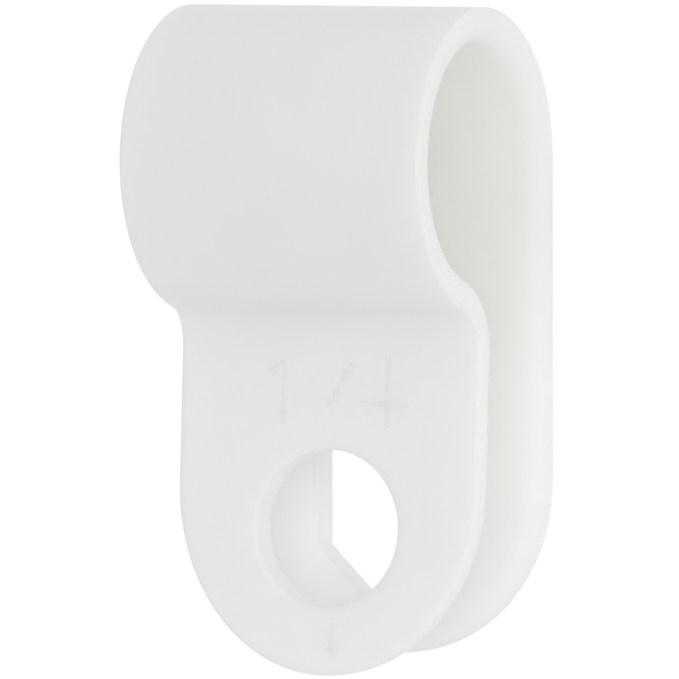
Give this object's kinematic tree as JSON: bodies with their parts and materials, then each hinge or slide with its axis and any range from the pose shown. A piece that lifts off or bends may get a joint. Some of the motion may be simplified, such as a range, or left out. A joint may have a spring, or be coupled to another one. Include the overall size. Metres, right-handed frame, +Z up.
{
  "type": "cable clamp",
  "caption": "One-piece moulded nylon P-clip: a strap bent into a round cable loop, with two facing legs that a single screw clamps to a panel.",
  "frame": {"origin": "on the mounting face, where the axis of the screw hole passes through the lower leg's hole", "axes": "+X along the cable, +Y from the screw hole towards the loop, +Z up off the mounting face along the screw"},
  "size_m": [0.0096, 0.0191, 0.0088],
  "materials": {
    "nylon": "natural nylon, satin, slightly translucent"
  },
  "bodies": {
    "root": {"cable_clamp": "nylon"}
  },
  "joints": []
}
